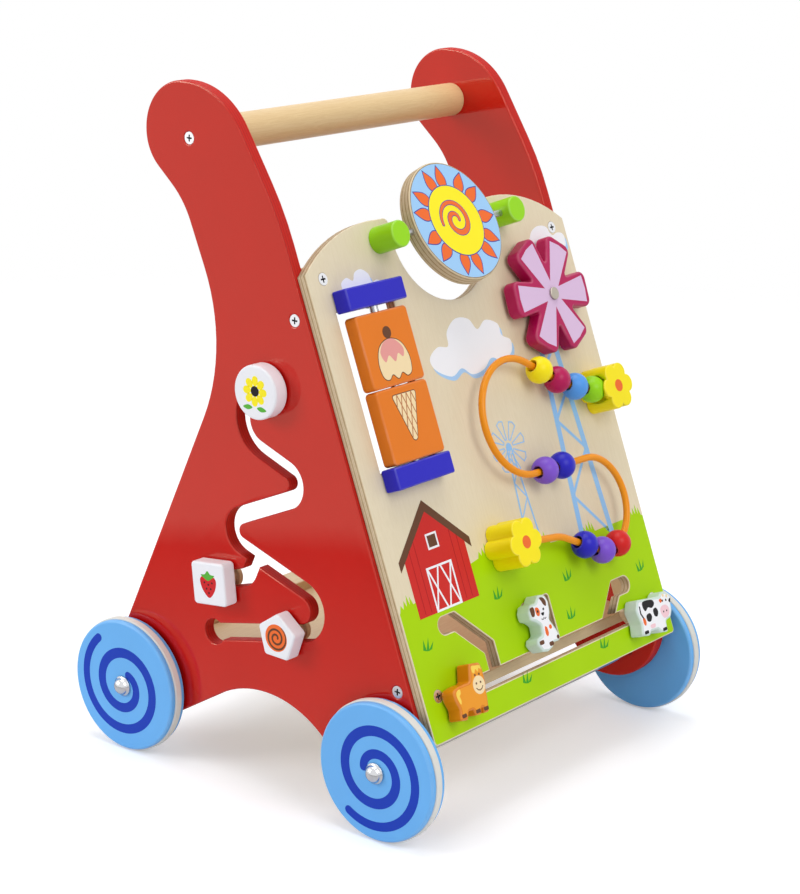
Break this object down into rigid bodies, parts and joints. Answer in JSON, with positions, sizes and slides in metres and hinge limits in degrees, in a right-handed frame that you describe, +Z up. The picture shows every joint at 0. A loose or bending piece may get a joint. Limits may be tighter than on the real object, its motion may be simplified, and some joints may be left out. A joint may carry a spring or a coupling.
{
  "type": "baby push walker",
  "caption": "Wooden push walker on wheels: two side panels, a dowel handle and a sloping board of turning, sliding and spinning toys",
  "frame": {"origin": "on the floor under the middle of the object's box", "axes": "+Z up; -Y is the front, where the activity board faces; +X is to the right seen from the front"},
  "size_m": [0.3472, 0.338, 0.4939],
  "materials": {
    "panel_red": "glossy paint",
    "natural_wood": "clear lacquer",
    "board_wood": "clear lacquer",
    "steel": "bright",
    "bright_cap": "polished",
    "wheel_blue": "glossy paint",
    "tyre_pale": "satin",
    "peg_lime": "glossy paint",
    "disc_blue": "glossy paint",
    "holder_navy": "glossy paint",
    "block_orange": "glossy paint",
    "windmill_magenta": "glossy paint",
    "flower_yellow": "glossy paint",
    "wire_orange": "glossy coating",
    "bead_yellow": "glossy paint",
    "bead_magenta": "glossy paint",
    "bead_sky": "glossy paint",
    "bead_lime": "glossy paint",
    "bead_violet": "glossy paint",
    "bead_navy": "glossy paint",
    "bead_red": "glossy paint",
    "horse_tan": "glossy paint",
    "figure_white": "glossy paint",
    "knob_white": "glossy paint"
  },
  "bodies": {
    "frame": {"side_panel_left": "panel_red", "side_panel_right": "panel_red", "handle_bar": "natural_wood", "activity_board": "board_wood", "corner_blocks": "natural_wood", "shelf_board": "natural_wood", "rear_rail": "natural_wood", "side_screws": "steel", "board_screws": "steel", "front_axle": "steel", "rear_axle": "steel", "axle_caps": "bright_cap", "axle_washers": "steel", "disc_peg_left": "peg_lime", "disc_peg_right": "peg_lime", "disc_rod": "steel", "block_holder_top": "holder_navy", "block_holder_bottom": "holder_navy", "block_rod": "steel", "windmill_pin": "steel", "flower_block_upper": "flower_yellow", "flower_block_lower": "flower_yellow", "bead_wire": "wire_orange"},
    "front_left_wheel": {"wheel_front_left": "wheel_blue", "tyre_front_left": "tyre_pale"},
    "front_right_wheel": {"wheel_front_right": "wheel_blue", "tyre_front_right": "tyre_pale"},
    "rear_left_wheel": {"wheel_rear_left": "wheel_blue", "tyre_rear_left": "tyre_pale"},
    "rear_right_wheel": {"wheel_rear_right": "wheel_blue", "tyre_rear_right": "tyre_pale"},
    "disc": {"turning_disc": "disc_blue"},
    "upper_block": {"turning_block_upper": "block_orange"},
    "lower_block": {"turning_block_lower": "block_orange"},
    "mill": {"windmill": "windmill_magenta"},
    "horse": {"horse_figure": "horse_tan", "horse_stem": "natural_wood"},
    "dog": {"dog_figure": "figure_white", "dog_stem": "natural_wood"},
    "cow": {"cow_figure": "figure_white", "cow_stem": "natural_wood"},
    "round_slider": {"round_knob": "knob_white", "round_knob_stem": "natural_wood"},
    "square_slider": {"square_knob": "knob_white", "square_knob_stem": "natural_wood"},
    "five_slider": {"five_knob": "knob_white", "five_knob_stem": "natural_wood"},
    "yellow_bead": {"bead_yellow": "bead_yellow"},
    "magenta_bead": {"bead_magenta": "bead_magenta"},
    "sky_bead": {"bead_sky": "bead_sky"},
    "lime_bead": {"bead_lime": "bead_lime"},
    "violet_middle_bead": {"bead_violet_middle": "bead_violet"},
    "navy_middle_bead": {"bead_navy_middle": "bead_navy"},
    "red_bead": {"bead_red": "bead_red"},
    "violet_low_bead": {"bead_violet_low": "bead_violet"},
    "navy_low_bead": {"bead_navy_low": "bead_navy"}
  },
  "joints": [
    {"name": "front_left_wheel_spin", "type": "hinge", "parent": "frame", "child": "front_left_wheel", "pos_m": [-0.1601, -0.119, 0.05], "axis": [1, 0, 0], "continuous": true},
    {"name": "front_right_wheel_spin", "type": "hinge", "parent": "frame", "child": "front_right_wheel", "pos_m": [0.1601, -0.119, 0.05], "axis": [1, 0, 0], "continuous": true},
    {"name": "rear_left_wheel_spin", "type": "hinge", "parent": "frame", "child": "rear_left_wheel", "pos_m": [-0.1601, 0.119, 0.05], "axis": [1, 0, 0], "continuous": true},
    {"name": "rear_right_wheel_spin", "type": "hinge", "parent": "frame", "child": "rear_right_wheel", "pos_m": [0.1601, 0.119, 0.05], "axis": [1, 0, 0], "continuous": true},
    {"name": "disc_spin", "type": "hinge", "parent": "frame", "child": "disc", "pos_m": [0, -0.04377, 0.3919], "axis": [1, 0, 0], "continuous": true},
    {"name": "upper_block_spin", "type": "hinge", "parent": "frame", "child": "upper_block", "pos_m": [-0.098, -0.06473, 0.32171], "axis": [0, 0.3649, 0.9311], "continuous": true},
    {"name": "lower_block_spin", "type": "hinge", "parent": "frame", "child": "lower_block", "pos_m": [-0.098, -0.0837, 0.27329], "axis": [0, 0.3649, 0.9311], "continuous": true},
    {"name": "windmill_spin", "type": "hinge", "parent": "frame", "child": "mill", "pos_m": [0.093, -0.06342, 0.32861], "axis": [0, -0.9311, 0.3649], "continuous": true},
    {"name": "horse_slide", "type": "slide", "parent": "frame", "child": "horse", "axis": [1, 0, 0], "range_m": [0, 0.055]},
    {"name": "dog_slide", "type": "slide", "parent": "frame", "child": "dog", "axis": [1, 0, 0], "range_m": [0, 0.022]},
    {"name": "cow_slide", "type": "slide", "parent": "frame", "child": "cow", "axis": [-1, 0, 0], "range_m": [0, 0.06]},
    {"name": "round_slider_bend", "type": "hinge", "parent": "frame", "child": "round_slider", "pos_m": [-0.151, -0.006, 0.2705], "axis": [1, 0, 0], "range_deg": [-100, 0]},
    {"name": "square_slider_slide", "type": "slide", "parent": "frame", "child": "square_slider", "axis": [0, -0.9555, 0.295], "range_m": [0, 0.016]},
    {"name": "five_slider_slide", "type": "slide", "parent": "frame", "child": "five_slider", "axis": [0, 0.9743, -0.2251], "range_m": [0, 0.062]},
    {"name": "yellow_bead_slide", "type": "slide", "parent": "frame", "child": "yellow_bead", "axis": [-0.8544, 0.1896, 0.4839], "range_m": [0, 0.014]},
    {"name": "magenta_bead_spin", "type": "hinge", "parent": "frame", "child": "magenta_bead", "pos_m": [0.07164, -0.09008, 0.27318], "axis": [-0.8796, 0.1736, 0.4429], "continuous": true},
    {"name": "sky_bead_spin", "type": "hinge", "parent": "frame", "child": "sky_bead", "pos_m": [0.09037, -0.0932, 0.26524], "axis": [-0.9364, 0.128, 0.3267], "continuous": true},
    {"name": "lime_bead_spin", "type": "hinge", "parent": "frame", "child": "lime_bead", "pos_m": [0.11006, -0.09539, 0.25964], "axis": [-0.9655, 0.095, 0.2424], "continuous": true},
    {"name": "violet_middle_bead_slide", "type": "slide", "parent": "frame", "child": "violet_middle_bead", "axis": [0.9995, -0.0116, -0.0297], "range_m": [-0.01, 0]},
    {"name": "navy_middle_bead_slide", "type": "slide", "parent": "frame", "child": "navy_middle_bead", "axis": [0.9995, -0.0116, -0.0297], "range_m": [0, 0.024]},
    {"name": "red_bead_bend", "type": "hinge", "parent": "frame", "child": "red_bead", "pos_m": [0.08, -0.12495, 0.1842], "axis": [0, -0.9311, 0.3649], "range_deg": [0, 105]},
    {"name": "violet_low_bead_spin", "type": "hinge", "parent": "frame", "child": "violet_low_bead", "pos_m": [0.0703, -0.13703, 0.15338], "axis": [-0.9597, 0.1026, 0.2617], "continuous": true},
    {"name": "navy_low_bead_slide", "type": "slide", "parent": "frame", "child": "navy_low_bead", "axis": [-0.8978, 0.1607, 0.41], "range_m": [0, 0.018]}
  ]
}
